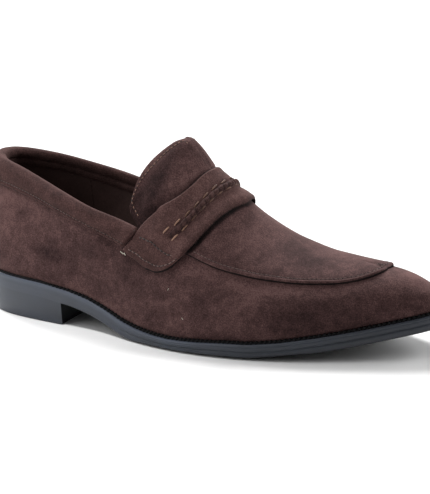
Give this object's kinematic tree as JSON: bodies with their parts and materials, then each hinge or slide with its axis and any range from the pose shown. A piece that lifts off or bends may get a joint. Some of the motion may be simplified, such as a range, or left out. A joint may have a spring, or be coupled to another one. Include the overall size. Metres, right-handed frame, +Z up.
{
  "type": "loafer shoe",
  "caption": "Slip-on saddle loafer for the right foot: hollow suede upper with apron, strap and tongue, on a thin rubber sole with a low stacked heel.",
  "frame": {"origin": "middle of the bounding box in plan, on the floor that the heel and the ball of the sole stand on", "axes": "+X towards the toe, along the sole; +Y towards the inner side of the foot; +Z up"},
  "size_m": [0.2924, 0.1, 0.1075],
  "materials": {
    "suede": "matt plum-brown suede with a short nap",
    "lining": "dark brown lining leather, satin",
    "rubber": "slate-grey rubber, satin",
    "welting": "black notched welting, satin"
  },
  "bodies": {
    "root": {"outsole": "rubber", "heel": "rubber", "welt": "welting", "insole": "lining", "upper": "suede", "apron": "suede", "collar_band": "suede", "tongue": "suede", "saddle_strap": "suede", "strap_ridge": "suede"}
  },
  "joints": []
}
